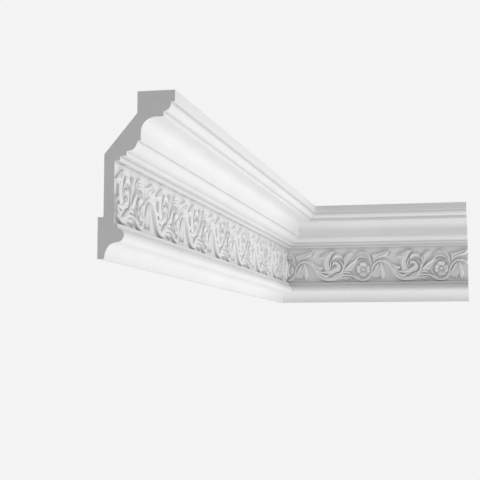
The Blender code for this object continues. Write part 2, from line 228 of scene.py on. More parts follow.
class Relief:
    """Height field of one repeat, built from the ground up, that wraps round along the frieze."""

    def __init__(self):
        self.u, self.v = np.meshgrid(np.arange(COLUMNS) * GRID, np.arange(ROWS) * GRID)
        self.height = np.zeros_like(self.u)

    def around(self, centre):
        """Offsets of every grid point from a centre, the short way round the repeat."""
        return (self.u - centre[0] + REPEAT / 2) % REPEAT - REPEAT / 2, self.v - centre[1]

    def follow(self, line):
        """Distance to a line, which side of it, and the line's width and height there."""
        distance = np.full_like(self.u, np.inf)
        side, width, height = (np.zeros_like(self.u) for _ in range(3))
        reach = line[:, 2:4].max() + LINE_ROOM
        low, high = line[:, :2].min(axis=0) - reach, line[:, :2].max(axis=0) + reach
        for shift in (-REPEAT, 0.0):
            u = self.u + shift
            near = (u > low[0]) & (u < high[0]) & (self.v > low[1]) & (self.v < high[1])
            places = np.stack([u[near], self.v[near]], axis=1)
            best = [array[near] for array in (distance, side, width, height)]
            for p, q in zip(line[:-1], line[1:]):
                step = q - p
                offset = places - p[:2]
                f = np.clip(offset @ step[:2] / (step[:2] @ step[:2] + 1e-9), 0, 1)
                off = np.hypot(offset[:, 0] - f * step[0], offset[:, 1] - f * step[1])
                left = step[0] * offset[:, 1] - step[1] * offset[:, 0] > 0
                here = p + f[:, None] * step
                values = (off, np.where(left, -1, 1), np.where(left, here[:, 2], here[:, 3]), here[:, 4])
                closer = off < best[0]
                best = [np.where(closer, new, old) for new, old in zip(values, best)]
            for array, values in zip((distance, side, width, height), best):
                array[near] = values
        return distance, side, width, height

    def stand_free(self, beyond, groove):
        """Lowers what is there in a narrow ring round a form, beyond being the distance from its edge."""
        ring = np.clip(beyond / RING_WIDTH, 0, 1)
        self.height = self.height * (1 - groove * (1 - ring)**2)

    def lay(self, points, edge=2.0, sweep=0.5, tilt=0.0, vein=0.0, groove=0.35):
        """Lays one stroke over what is there.

        edge and sweep set its section: 2 and 0.5 give a round, a larger edge squarer shoulders, 1 and more
        than 1 a hollow slope. tilt lowers its right side, vein cuts its middle, groove a line round it.
        """
        distance, side, width, height = self.follow(curve(points))
        width = np.maximum(width, LEAST_WIDTH)
        share = np.clip(distance / width, 0, 1)
        form = 1 - tilt * (side * share + 1) / 2 - vein * np.exp(-(distance / VEIN_WIDTH)**2)
        body = height * (1 - share**edge)**sweep * form
        self.stand_free(distance - width, groove)
        self.height = np.maximum(self.height, body)

    def fill(self, sides, height, shoulder=0.9, groove=0.35):
        """Fills the outline made of several curves, which meet at its corners, with rounded shoulders."""
        line = np.vstack([curve(np.column_stack([side, np.ones((len(side), 3))]))[:-1] for side in sides])
        line = np.vstack([line, line[:1]])
        low, high = line[:, :2].min(axis=0), line[:, :2].max(axis=0)
        middle = (low + high) / 2
        du, dv = self.around(middle)
        near = (2 * np.abs(du) < high[0] - low[0]) & (2 * np.abs(dv) < high[1] - low[1])
        du, dv = du[near], dv[near]
        within = np.zeros(du.shape, bool)
        corners = line[:, :2] - middle
        for (u0, v0), (u1, v1) in zip(corners[:-1], corners[1:]):
            crosses = (v0 > dv) != (v1 > dv)
            within ^= crosses & (du < u0 + (u1 - u0) * (dv - v0) / (v1 - v0 + 1e-12))
        inside = np.zeros(near.shape, bool)
        inside[near] = within
        distance = self.follow(line)[0]
        share = np.clip(distance / shoulder, 0, 1)
        body = np.where(inside, height * np.sqrt(share * (2 - share)), 0)
        self.stand_free(np.where(inside, 0, distance), groove)
        self.height = np.maximum(self.height, body)

    def score(self, points, depth, width=0.6):
        """Cuts a groove along a line, deepest in its middle."""
        line = curve(widened(np.array(points), 1, 1, (0, depth, depth, 0)))
        distance, _, _, height = self.follow(line)
        self.height = np.maximum(self.height - height * np.exp(-(distance / width)**2), 0)


def vine(relief):
    """The running vine: under the rosette, up to the crest and down into the trough."""
    stem = [
        (-82.5, 9.0, 3.4, 3.4, 3.6),
        (-75.5, 12.8, 2.4, 2.6, 3.6),
        (-64.5, 13.2, 2.0, 2.2, 3.2),
        (-56.0, 12.8, 2.0, 2.2, 3.2),
        (-50.0, 11.2, 2.0, 2.2, 3.2),
        (-45.0, 8.0, 2.2, 2.4, 3.4),
        (-39.5, 5.0, 2.4, 2.6, 3.6),
        (-32.5, 4.0, 2.8, 2.7, 3.8),
        (-25.0, 6.5, 2.9, 2.8, 3.2),
        (-19.0, 14.0, 2.8, 2.6, 2.1),
        (-17.0, 23.0, 2.7, 2.4, 1.7),
        (-13.4, 31.0, 2.5, 2.2, 1.9),
        (-6.6, 37.2, 2.2, 2.2, 3.0),
        (1.0, 38.8, 2.2, 2.3, 4.2),
        (8.5, 37.4, 2.5, 2.6, 4.6),
        (14.6, 33.2, 2.9, 2.9, 5.0),
        (20.4, 25.0, 3.3, 3.2, 5.4),
        (25.8, 16.6, 3.7, 3.5, 5.6),
        (32.6, 9.8, 4.0, 3.8, 5.6),
        (41.0, 6.4, 4.2, 4.1, 5.2),
        (50.0, 6.2, 4.0, 4.2, 4.4),
        (58.0, 9.0, 3.4, 3.4, 3.8),
        (65.0, 12.8, 2.6, 2.6, 3.6),
    ]
    relief.lay(stem, edge=3.6, tilt=-0.20, groove=0.2)


def calyx(relief):
    """The sheath that flares from the falling vine and parts into lobes round the scroll's stem."""
    upper = [
        [(17.0, 33.5), (21.0, 32.6), (25.5, 30.8), (30.0, 29.4), (35.8, 28.8)],
        [(35.8, 28.8), (33.4, 24.6), (29.8, 22.4), (26.5, 22.0)],
        [(26.5, 22.0), (21.0, 26.5), (17.0, 33.5)],
    ]
    lower = [
        [(26.0, 21.5), (29.5, 17.2), (34.0, 15.2), (39.5, 14.6), (45.2, 15.6)],
        [(45.2, 15.6), (44.4, 11.0), (41.5, 7.6), (36.0, 8.5)],
        [(36.0, 8.5), (29.0, 14.0), (26.0, 21.5)],
    ]
    for sides in (upper, lower):
        relief.fill(sides, 3.6, groove=0.5)
    upper_roll = [
        (18.0, 32.5, 1.4, 1.4, 4.6),
        (24.5, 27.8, 2.4, 2.2, 5.2),
        (30.5, 26.0, 2.6, 2.2, 5.4),
        (36.2, 29.0, 0, 0, 4.0),
    ]
    lower_roll = [
        (26.0, 22.5, 1.4, 1.4, 4.6),
        (31.0, 15.4, 2.4, 2.2, 5.4),
        (38.5, 11.8, 2.8, 2.4, 5.6),
        (45.6, 15.8, 0, 0, 4.0),
    ]
    for roll in (upper_roll, lower_roll):
        relief.lay(roll, edge=2.6, vein=0.06, groove=0.3)
    relief.score([(29.5, 12.5), (33.0, 9.6), (37.0, 7.4), (42.0, 6.4)], 0.9)


def blade(relief):
    """The dished blade of the curled leaf, with its two tips and its ribs."""
    outline = [
        [(27.4, 46.2), (33.0, 50.2), (38.5, 53.8), (44.5, 56.8), (50.5, 58.3), (57.4, 57.6)],
        [
            (57.4, 57.6), (53.2, 54.0), (50.3, 49.5), (48.0, 44.0),
            (46.2, 39.0), (45.8, 34.0), (47.0, 28.5), (50.5, 23.0),
        ],
        [(50.5, 23.0), (45.5, 19.0), (39.0, 18.4)],
        [(39.0, 18.4), (36.6, 24.5), (34.9, 30.0), (34.3, 36.0), (34.8, 41.2)],
        [(34.8, 41.2), (32.0, 43.2), (27.4, 46.2)],
    ]
    relief.fill(outline, 3.1, groove=0.5)
    rim = [
        (41.0, 20.5, 1.8, 4.0, 3.0),
        (38.6, 26.0, 2.4, 5.5, 3.9),
        (37.6, 32.0, 2.6, 6.5, 4.2),
        (37.6, 37.5, 2.6, 7.0, 4.4),
        (39.0, 43.0, 2.6, 7.0, 4.6),
        (42.2, 48.4, 2.6, 6.0, 4.8),
        (46.6, 53.0, 2.4, 4.6, 4.8),
        (51.0, 56.0, 1.6, 2.6, 4.4),
        (57.0, 57.6, 0, 0, 3.2),
    ]
    relief.lay(rim, edge=1.15, sweep=1.2, groove=0.0)
    side_rib = [
        (40.5, 46.0, 1.0, 1.0, 4.4),
        (37.0, 46.4, 1.9, 2.0, 4.6),
        (32.6, 46.6, 1.6, 1.8, 4.2),
        (27.4, 46.3, 0, 0, 3.0),
    ]
    relief.lay(side_rib, edge=2.6, groove=0.2)
    outer_rib = [
        (38.0, 49.6, 1.0, 1.0, 4.0),
        (41.5, 52.4, 1.5, 1.6, 4.6),
        (46.5, 55.6, 1.5, 1.6, 4.6),
        (52.5, 57.2, 0.8, 0.8, 3.8),
    ]
    relief.lay(outer_rib, edge=2.4, groove=0.25)
    relief.score([(41.5, 30.0), (41.2, 36.0), (43.0, 42.0), (46.8, 48.0)], 0.4, 0.7)
    inner_rib = [
        (52.5, 44.0, 0.8, 1.0, 3.2),
        (49.2, 40.0, 1.2, 1.6, 4.0),
        (48.0, 35.0, 1.2, 1.8, 4.2),
        (48.4, 30.0, 1.2, 1.6, 4.0),
        (50.6, 25.5, 0.6, 0.6, 3.0),
    ]
    relief.lay(inner_rib, edge=2.0, groove=0.2)


def fold(relief):
    """The edge of the curled leaf that folds forward over its blade."""
    outline = [
        [(51.8, 46.5), (54.6, 51.2), (59.4, 53.4), (64.6, 52.4), (68.6, 48.6), (71.0, 43.0)],
        [(71.0, 43.0), (67.4, 45.0), (62.8, 46.0), (58.2, 45.2), (54.4, 42.2), (51.6, 39.0)],
        [(51.6, 39.0), (50.8, 42.5), (51.8, 46.5)],
    ]
    relief.fill(outline, 3.8, shoulder=1.8, groove=0.3)
    roll = [
        (52.6, 42.0, 1.2, 1.2, 3.8),
        (54.4, 47.0, 2.2, 2.6, 5.0),
        (59.4, 50.0, 2.8, 2.8, 5.6),
        (64.8, 49.2, 2.6, 2.6, 5.2),
        (68.6, 46.4, 1.6, 1.6, 4.4),
        (71.0, 43.0, 0, 0, 3.4),
    ]
    relief.lay(roll, edge=2.4, groove=0.0)


def volute(relief):
    """The curled leaf's stem, coiled into a volute on a low shelf, with a deep eye."""
    shelf = [
        [
            (51.4, 38.4), (56.6, 39.2), (61.6, 37.0), (66.0, 32.8),
            (67.8, 28.0), (66.4, 22.8), (62.6, 19.4), (57.6, 19.2),
        ],
        [(57.6, 19.2), (52.5, 16.2), (47.5, 13.0), (44.4, 11.2)],
        [(44.4, 11.2), (44.0, 16.0), (47.5, 20.0), (50.0, 26.0), (51.4, 38.4)],
    ]
    relief.fill(shelf, 3.0, groove=0.3)
    stem = [
        (27.0, 20.5, 1.6, 1.6, 3.4),
        (33.5, 19.2, 2.2, 2.2, 4.0),
        (41.0, 18.6, 2.8, 2.8, 4.4),
        (48.0, 19.8, 3.2, 3.2, 4.6),
        (54.0, 21.8, 2.8, 3.0, 4.4),
        (60.0, 23.6, 0.8, 0.8, 3.2),
    ]
    relief.lay(stem, edge=2.6, groove=0.3)
    widths = (2.8, 3.1, 2.6, 2.0)
    coil = np.vstack([
        (50.0, 22.8, 1.0, 1.0, 4.2),
        (54.0, 24.0, 2.2, 2.6, 5.2),
        widened(spiral(EYE, (7.0, 3.6), (-62, 118), 8), widths, widths, (5.8, 6.0, 5.8, 5.2)),
        (52.6, 37.6, 1.4, 1.4, 4.4),
        (50.6, 38.6, 0, 0, 3.4),
    ])
    relief.lay(coil, edge=2.2, groove=0.3)
    du, dv = relief.around(EYE)
    pit = np.exp(-((du**2 + dv**2) / EYE_RADIUS**2)**2)
    relief.height = relief.height * (1 - EYE_DEPTH * pit)
    relief.score([(57.0, 33.0), (54.6, 30.4), (52.4, 27.8), (50.2, 24.8)], 3.2, 1.2)


def spreading_leaf(relief):
    """The swelling in the trough of the vine and the dished leaf that leans away from it."""
    swelling = [
        [(44.0, 4.5), (48.6, 9.2), (54.0, 12.8), (60.0, 16.6), (66.0, 19.4), (70.5, 23.0)],
        [(70.5, 23.0), (72.0, 17.0), (70.0, 10.0), (64.0, 4.6), (56.0, 2.0)],
        [(56.0, 2.0), (50.0, 2.0), (44.0, 4.5)],
    ]
    relief.fill(swelling, 3.4, groove=0.3)
    outline = [
        [(72.5, 20.8), (77.6, 27.8), (82.6, 33.0), (88.0, 37.0), (93.0, 40.8), (98.0, 46.0)],
        [(98.0, 46.0), (97.6, 40.0), (95.6, 34.5), (92.2, 29.5), (89.0, 25.0), (86.5, 21.6)],
        [(86.5, 21.6), (80.0, 20.4), (72.5, 20.8)],
    ]
    relief.fill(outline, 2.6, groove=0.4)
    rim = [
        (71.5, 20.0, 1.2, 1.8, 3.8),
        (78.0, 27.6, 1.2, 4.5, 4.9),
        (84.0, 33.4, 1.2, 6.0, 5.0),
        (89.6, 37.4, 1.2, 6.0, 5.0),
        (94.4, 41.6, 1.2, 4.0, 4.6),
        (98.0, 46.0, 0, 0, 3.4),
    ]
    relief.lay(rim, edge=1.2, sweep=1.0, groove=0.0)
    relief.score([(76.0, 22.6), (82.0, 27.6), (88.0, 31.6), (93.5, 36.0)], 0.6, 0.8)


def standing_leaf(relief):
    """The tall leaf over the trough, with two ribs that end in its two tips."""
    outline = [
        [(71.5, 24.0), (72.6, 31.0), (72.4, 38.0), (71.6, 44.0), (72.4, 50.2)],
        [(72.4, 50.2), (74.4, 48.6), (75.6, 50.4)],
        [(75.6, 50.4), (78.0, 54.0), (81.6, 56.0), (86.0, 56.0), (89.4, 53.4)],
        [(89.4, 53.4), (86.0, 48.4), (83.2, 43.6), (80.4, 37.6), (77.6, 31.6), (74.6, 25.4), (71.5, 24.0)],
    ]
    relief.fill(outline, 3.3, groove=0.5)
    left_rib = [
        (71.0, 22.0, 1.4, 1.6, 3.8),
        (73.4, 30.0, 1.6, 2.2, 4.4),
        (74.2, 38.0, 1.6, 2.6, 4.6),
        (74.0, 44.4, 1.8, 2.4, 4.6),
        (72.6, 50.0, 0, 0, 3.4),
    ]
    relief.lay(left_rib, edge=2.2, groove=0.2)
    top_rib = [
        (75.0, 32.0, 0.8, 1.2, 3.8),
        (77.0, 41.0, 1.4, 2.6, 4.6),
        (79.0, 48.0, 2.2, 3.6, 5.4),
        (82.6, 52.2, 2.6, 3.0, 5.6),
        (86.2, 53.8, 1.6, 1.8, 4.6),
        (89.2, 53.2, 0, 0, 3.2),
    ]
    relief.lay(top_rib, edge=2.0, groove=0.45)


def low_leaves(relief):
    """The three small pointed leaves that lie along the frieze's foot."""
    low_leaf = [
        (60.0, 7.6, 2.6, 2.6, 3.8),
        (69.0, 7.4, 2.3, 2.3, 3.8),
        (77.0, 6.6, 2.0, 2.0, 3.4),
        (84.6, 1.9, 0, 0, 2.6),
    ]
    relief.lay(low_leaf, edge=2.8, vein=0.10, groove=0.5)
    small_leaf = [
        (73.0, 9.6, 1.2, 1.2, 3.0),
        (81.0, 8.8, 1.6, 1.6, 3.4),
        (86.5, 6.9, 1.3, 1.3, 3.0),
        (91.4, 4.0, 0, 0, 2.4),
    ]
    relief.lay(small_leaf, edge=2.8)
    upper_leaf = [
        (67.0, 16.4, 1.8, 1.8, 3.4),
        (74.0, 18.4, 2.1, 2.2, 3.8),
        (81.0, 18.2, 2.1, 2.2, 3.8),
        (88.0, 15.2, 0, 0, 2.6),
    ]
    relief.lay(upper_leaf, edge=2.8, vein=0.08, groove=0.5)


def shoot(relief):
    """The shoot that rises from the trough and bends back over its tip."""
    line = [
        (57.5, 9.0, 2.0, 2.0, 4.0),
        (63.2, 13.6, 2.0, 2.2, 4.4),
        (68.6, 19.6, 2.0, 2.2, 4.5),
        (71.6, 27.0, 1.8, 1.8, 4.3),
        (70.4, 33.6, 1.5, 1.5, 4.1),
        (66.6, 37.8, 1.4, 1.4, 4.0),
        (60.8, 40.6, 0.3, 0.3, 3.4),
    ]
    relief.lay(line, edge=2.2, groove=0.3)


def ribbed_leaf(relief):
    """The branch round the rosette and the ribbed leaf that folds over it."""
    outline = [
        [
            (-46.5, 50.5), (-42.0, 55.0), (-35.0, 57.6), (-27.5, 56.4),
            (-22.0, 51.5), (-19.0, 44.0), (-18.0, 33.0),
        ],
        [(-18.0, 33.0), (-22.4, 38.6), (-27.0, 43.0), (-33.5, 45.4), (-40.5, 44.6), (-47.5, 40.0)],
        [(-47.5, 40.0), (-46.0, 45.0), (-46.5, 50.5)],
    ]
    relief.fill(outline, 2.0, groove=0.4)
    widths = (0.4, 1.4, 1.3)
    branch = widened(spiral(ROSETTE, (17.6, 16.8), (55, 250), 14), widths, widths, (2.6, 3.6, 3.2))
    relief.lay(branch, edge=2.2, groove=0.5)
    ribs = [
        [(-18.6, 31.0), (-20.4, 38.6), (-25.0, 43.8), (-31.5, 46.8), (-38.5, 47.0), (-46.0, 43.5)],
        [(-18.4, 33.0), (-20.2, 41.5), (-25.0, 47.4), (-31.5, 50.4), (-38.5, 50.6), (-46.4, 47.6)],
        [(-18.4, 36.0), (-20.6, 45.5), (-25.4, 51.4), (-32.0, 54.2), (-39.0, 54.0), (-46.6, 50.8)],
    ]
    for places, width, height in zip(ribs, (1.8, 1.9, 2.0), (4.0, 4.4, 4.7)):
        widths = (1.2, width, width, width, width, 0)
        heights = (height, height, height, height - 0.2, height - 0.6, 2.4)
        relief.lay(widened(np.array(places), widths, widths, heights), edge=2.2, groove=0.65)


def rosette(relief):
    """Four broad notched petals, dished towards a boss."""
    du, dv = relief.around(ROSETTE)
    du = du / ROSETTE_WIDTH
    reach = np.hypot(du, dv)
    turn = np.arctan2(dv, du) / (2 * math.pi / PETALS)
    # off is 0 in the middle of a petal and 1 between two
    off = 2 * np.abs((turn + 0.5) % 1 - 0.5)
    tip = 1 - TIP_NOTCH * np.exp(-(off / TIP_NOTCH_WIDTH)**2)
    edge = PETAL_REACH * (1 - PETAL_TAPER * off**3) * tip
    share = np.clip(reach / edge, 0, 1)
    dish = DISH_LOW + DISH_RISE * np.clip((reach - DISH_START) / DISH_RUN, 0, 1)**1.2
    rim = np.sqrt(np.clip(1 - np.clip((share - RIM_START) / RIM_RUN, 0, 1)**2.4, 0, 1))
    parting = np.sqrt(np.clip(1 - off**4, 0, 1))
    vein = 1 - PETAL_VEIN * np.exp(-(off / PETAL_VEIN_WIDTH)**2) * np.clip(reach / PETAL_VEIN_FULL, 0, 1)
    petal = np.where(reach > PETAL_START, dish * rim * parting * vein, 0)
    boss = BOSS_HEIGHT * np.sqrt(np.clip(1 - (reach / BOSS_RADIUS)**2.2, 0, 1))
    bloom = np.maximum(np.maximum(petal, boss), GROUND_LEFT * relief.height)
    relief.height = np.where(reach < ROSETTE_CLEARS, bloom, relief.height)


def long_leaf(relief):
    """The leaf that points along the frieze above the crest, cut off slantwise at its end."""
    outline = [
        [(-13.8, 36.0), (-15.6, 43.5), (-18.0, 50.8)],
        [(-18.0, 50.8), (-12.5, 51.6), (-7.0, 52.4), (-1.0, 54.4), (5.0, 56.4), (10.5, 58.0)],
        [(10.5, 58.0), (14.2, 56.8), (14.4, 53.6), (12.4, 50.2)],
        [(12.4, 50.2), (8.5, 47.8), (2.7, 45.9), (-3.3, 44.4), (-9.3, 41.8), (-13.8, 36.0)],
    ]
    relief.fill(outline, 3.2, groove=0.6)
    upper_roll = [
        (-15.0, 45.0, 1.2, 1.4, 3.4),
        (-9.0, 49.6, 1.8, 2.4, 3.9),
        (-1.0, 51.6, 2.2, 2.8, 4.3),
        (6.0, 54.0, 2.2, 2.8, 4.6),
        (12.4, 56.2, 0.6, 0.6, 3.6),
    ]
    relief.lay(upper_roll, edge=2.2, groove=0.0)
    lower_roll = [
        (-12.5, 40.5, 1.2, 1.2, 3.4),
        (-5.0, 46.2, 1.6, 1.6, 4.2),
        (3.0, 48.6, 2.2, 2.2, 4.9),
        (9.0, 51.4, 2.4, 2.4, 5.2),
        (13.6, 55.6, 0.4, 0.4, 4.0),
    ]
    relief.lay(lower_roll, edge=2.2, groove=0.5)
    curled_end = [(17.8, 54.6, 0.2, 0.2, 2.4), (17.0, 51.0, 1.1, 1.1, 3.8), (14.4, 47.4, 0.2, 0.2, 2.4)]
    relief.lay(curled_end, groove=0.3)


def hanging_leaf(relief):
    """The leaf that hangs under the crest and parts into five lobes near its tips."""
    outline = [
        [(-2.0, 37.0), (1.8, 33.0), (2.6, 25.0), (2.4, 16.0), (3.4, 4.6)],
        [(3.4, 4.6), (0.6, 7.0), (-3.2, 15.0), (-4.6, 8.0), (-6.2, 4.8)],
        [(-6.2, 4.8), (-8.2, 11.0), (-10.2, 4.4)],
        [(-10.2, 4.4), (-12.1, 11.0), (-14.0, 5.4)],
        [(-14.0, 5.4), (-15.2, 12.0), (-17.6, 7.8)],
        [(-17.6, 7.8), (-16.6, 15.0), (-12.6, 24.0), (-8.6, 31.0), (-2.0, 37.0)],
    ]
    relief.fill(outline, 3.3, groove=0.2)
    base = np.array((-1.0, 34.0))
    lobes = [
        ((-17.2, 8.2), 1.6, 1.6, 3.2),
        ((-13.8, 5.8), 1.8, 1.8, 3.6),
        ((-10.2, 4.8), 1.9, 1.9, 4.1),
        ((-6.3, 5.2), 2.2, 2.2, 4.7),
        ((2.6, 5.0), 5.2, 2.4, 5.4),
    ]
    for tip, left, right, height in lobes:
        places = base + np.linspace(0, 1, 5)[:, None] * (np.array(tip) - base)
        shape = np.array((0.5, 0.8, 1.0, 1.0, 0.0))
        heights = (height - 1.0, height, height, height - 0.4, height - 2.2)
        relief.lay(widened(places, left * shape, right * shape, heights), edge=2.4, groove=0.25)


def blurred(height, spread):
    """Softens the field as the casting does, with a Gaussian cut off at three spreads that wraps round."""
    reach = int(3 * spread / GRID) + 1
    offsets = np.arange(-reach, reach + 1)
    weights = np.exp(-0.5 * (offsets * GRID / spread)**2)
    weights /= weights.sum()
    along = sum(w * np.roll(height, k, axis=1) for w, k in zip(weights, offsets))
    padded = np.pad(along, ((reach, reach), (0, 0)), mode="edge")
    return sum(w * padded[reach + k:reach + k + ROWS] for w, k in zip(weights, offsets))


def field():
    """The height field of one repeat, each form laid over those before it."""
    relief = Relief()
    forms = (
        hanging_leaf, ribbed_leaf, spreading_leaf, standing_leaf, low_leaves, shoot,
        blade, fold, volute, vine, calyx, long_leaf, rosette,
    )
    for form in forms:
        form(relief)
    margin = np.clip(np.minimum(relief.v, BAND - relief.v) / MARGIN, 0, 1)
    return blurred(CROWN * np.tanh(relief.height / CROWN) * margin, CASTING_BLUR)


def sampled(heights, u, v):
    """Heights of the repeat at any places, with even steps between its grid points."""
    column = (u % REPEAT) / GRID
    just_under_last = ROWS - 1.001
    row = np.clip(v / GRID, 0, just_under_last)
    left = np.floor(column).astype(int) % COLUMNS
    low = np.floor(row).astype(int)
    along, up = column - np.floor(column), row - low
    right = (left + 1) % COLUMNS
    under = heights[low, left] * (1 - along) + heights[low, right] * along
    over = heights[low + 1, left] * (1 - along) + heights[low + 1, right] * along
    return under * (1 - up) + over * up


def arc(centre, radius, start, end):
    """Points of a circular arc in the section, angles in degrees from +X towards +Z."""
    steps = math.ceil(math.radians(abs(end - start)) / ARC_STEP)
    angles = np.radians(np.linspace(start, end, steps + 1))
    return [(centre[0] + radius * math.cos(a), centre[1] + radius * math.sin(a)) for a in angles]


def bulge(start, end, sag, steps=10):
    """Points of a shallow curve from start to end that stands out by sag on the left of its chord."""
    start, end = Vector(start), Vector(end)
    side = (end - start).orthogonal().normalized()
    shares = [i / steps for i in range(steps + 1)]
    return [tuple(start.lerp(end, f) + side * sag * 4 * f * (1 - f)) for f in shares]


def front_above_frieze():
    """Section from the ceiling face down to the fillet over the frieze."""
    upper_ovolo = (UPPER_OVOLO_REACH - UPPER_OVOLO_RADIUS, UPPER_OVOLO_TOP)
    cove = (COVE_REACH + COVE_RADIUS, UPPER_FILLET_BOTTOM - COVE_RADIUS)
    ovolo_top = (LOWER_OVOLO_REACH, COVE_BOTTOM)
    ovolo_end = (LOWER_OVOLO_REACH - LOWER_OVOLO_IN, COVE_BOTTOM - LOWER_OVOLO_DROP)
    points = [(LIP_REACH, HEIGHT), (LIP_REACH, LIP_BOTTOM), (UPPER_OVOLO_REACH, LIP_BOTTOM)]
    points += arc(upper_ovolo, UPPER_OVOLO_RADIUS, 0, -90)
    points += [(upper_ovolo[0], UPPER_FILLET_BOTTOM)]
    points += arc(cove, COVE_RADIUS, 90, 180)
    points += [(COVE_REACH, COVE_BOTTOM)]
    points += bulge(ovolo_top, ovolo_end, LOWER_OVOLO_SAG)
    points += [(CROWN_FILLET_REACH, ovolo_end[1] - CROWN_SOFFIT_DROP)]
    points += [(CROWN_FILLET_REACH, CROWN_FILLET_BOTTOM)]
    points += [(FRIEZE_FILLET_REACH, CROWN_FILLET_BOTTOM), (FRIEZE_FILLET_REACH, FRIEZE_TOP)]
    return points


def front_below_frieze():
    """Section from the fillet under the frieze down to the toe."""
    points = [(FOOT_FILLET_REACH, FRIEZE_BOTTOM)]
    points += arc((TORUS_REACH, TORUS_HEIGHT), TORUS_RADIUS, TORUS_START, TORUS_END)
    points += bulge((FOOT_COVE_REACH, FOOT_COVE_TOP), (FOOT_COVE_TOE, 0.0), FOOT_COVE_SAG)
    return points


def back():
    """Section round the back, from the toe on the wall up to the ceiling face."""
    return [
        (0.0, 0.0),
        (0.0, FOOT_HEIGHT),
        (BACK_RELIEF, FOOT_HEIGHT),
        (BACK_RELIEF, CHAMFER_BOTTOM),
        (CEILING_FACE_START, CHAMFER_TOP),
        (CEILING_FACE_START, HEIGHT),
    ]


def eased(points):
    """The section with its outward corners eased, as they leave a mould."""
    soft = [points[0]]
    for before, here, after in zip(points, points[1:], points[2:]):
        a, b, c = Vector(before), Vector(here), Vector(after)
        enter, leave = (b - a).normalized(), (c - b).normalized()
        turn = enter.angle_signed(leave, 0.0)
        room = ARRIS_SHARE * min((b - a).length, (c - b).length)
        if turn < SMOOTH_UNDER:
            soft.append(here)
            continue
        reach = min(ARRIS_RADIUS * math.tan(turn / 2), room)
        first, last = b - enter * reach, b + leave * reach
        for i in range(ARRIS_STEPS + 1):
            f = i / ARRIS_STEPS
            soft.append(tuple(first.lerp(b, f).lerp(b.lerp(last, f), f)))
    return soft + [points[-1]]


def placed(name, data):
    """A new object with this data, in the scene."""
    obj = bpy.data.objects.new(name, data)
    bpy.context.scene.collection.objects.link(obj)
    return obj


def patch_mesh(name, heights, crest, start, end, sawn, faces_wanted):
    """The relief between two stations as one fine mesh, faded out where the length is sawn square."""
    columns = round((end - start) / MM / PATCH_STEP)
    rows = round(BAND / PATCH_STEP)
    u, v = np.meshgrid(np.linspace(start / MM, end / MM, columns + 1), np.linspace(0, BAND, rows + 1))
    relief = sampled(heights, u - crest, v) * np.clip(np.abs(u - sawn / MM) / END_FADE, 0, 1)
    places = np.stack([FRIEZE_REACH + relief * MM, u * MM, FRIEZE_BOTTOM + v * MM], axis=-1)
    first = (np.arange(rows)[:, None] * (columns + 1) + np.arange(columns)).ravel()
    quads = np.stack([first, first + 1, first + columns + 2, first + columns + 1], axis=1)
    mesh = bpy.data.meshes.new(name)
    mesh.vertices.add(places.size // 3)
    mesh.vertices.foreach_set("co", places.astype(np.float32).ravel())
    mesh.loops.add(quads.size)
    mesh.loops.foreach_set("vertex_index", quads.astype(np.int32).ravel())
    mesh.polygons.add(len(quads))
    mesh.polygons.foreach_set("loop_start", np.arange(0, quads.size, 4, dtype=np.int32))
    mesh.update(calc_edges=True)
    obj = placed(name, mesh)
    thin = obj.modifiers.new("thin", "DECIMATE")
    thin.ratio = min(1.0, faces_wanted / (2 * len(quads)))
    bpy.context.view_layer.update()
    evaluated = obj.evaluated_get(bpy.context.evaluated_depsgraph_get())
    reduced = bpy.data.meshes.new_from_object(evaluated)
    bpy.data.objects.remove(obj)
    bpy.data.meshes.remove(mesh)
    return reduced


def edge_chain(bm, height):
    """The patch's boundary vertices at one height, in order along the length, set straight."""
    chain = [
        vert for vert in bm.verts
        if vert.is_boundary and abs(vert.co.z - height) < EDGE_SLACK
    ]
    for vert in chain:
        vert.co.z = height
        vert.co.x = FRIEZE_REACH
    return sorted(chain, key=lambda vert: vert.co.y)


def fan(bm, chain, rail, top):
    """Triangles between a chain of vertices and the two ends of the next rail."""
    middle = len(chain) // 2
    faces = [(a, b, rail[0]) for a, b in zip(chain[:middle], chain[1:middle + 1])]
    faces.append((chain[middle], rail[1], rail[0]))
    faces += [(a, b, rail[1]) for a, b in zip(chain[middle:-1], chain[middle + 1:])]
    for face in faces:
        bm.faces.new(face[::-1] if top else face)


def plain_faces(bm, start, end):
    """The section's faces round the frieze, whose fine mesh is in bm already."""
    bottom = edge_chain(bm, FRIEZE_BOTTOM)
    top = edge_chain(bm, FRIEZE_TOP)
    upper = eased(front_above_frieze())
    lower = eased(front_below_frieze() + back() + front_above_frieze()[:1])[:-1]
    rails = [[bm.verts.new((x, y, z)) for y in (start, end)] for x, z in upper + lower]
    over_frieze = len(upper) - 1
    for i, rail in enumerate(rails):
        following = rails[(i + 1) % len(rails)]
        if i != over_frieze:
            bm.faces.new([rail[0], rail[1], following[1], following[0]])
    fan(bm, top, rails[over_frieze], True)
    fan(bm, bottom, rails[over_frieze + 1], False)


def shade(bm, frieze_faces):
    """Smooth shading, with the section's sharp corners kept."""
    for face in bm.faces:
        face.smooth = True
    for edge in bm.edges:
        if len(edge.link_faces) == 2 and not all(face in frieze_faces for face in edge.link_faces):
            edge.smooth = edge.calc_face_angle(0.0) < SMOOTH_UNDER


def cut(bm, point, outward):
    """Saws the length off flat; the sawn face takes the foam's material."""
    everything = bm.verts[:] + bm.edges[:] + bm.faces[:]
    bmesh.ops.bisect_plane(
        bm, geom=everything, dist=SAW_SNAP, plane_co=point, plane_no=outward, clear_outer=True
    )
    rim = [
        edge for edge in bm.edges
        if edge.is_boundary and all(abs((v.co - point).dot(outward)) < SAW_SLACK for v in edge.verts)
    ]
    for face in bmesh.ops.holes_fill(bm, edges=rim, sides=0)["faces"]:
        face.material_index = SAWN_SLOT
        face.smooth = False


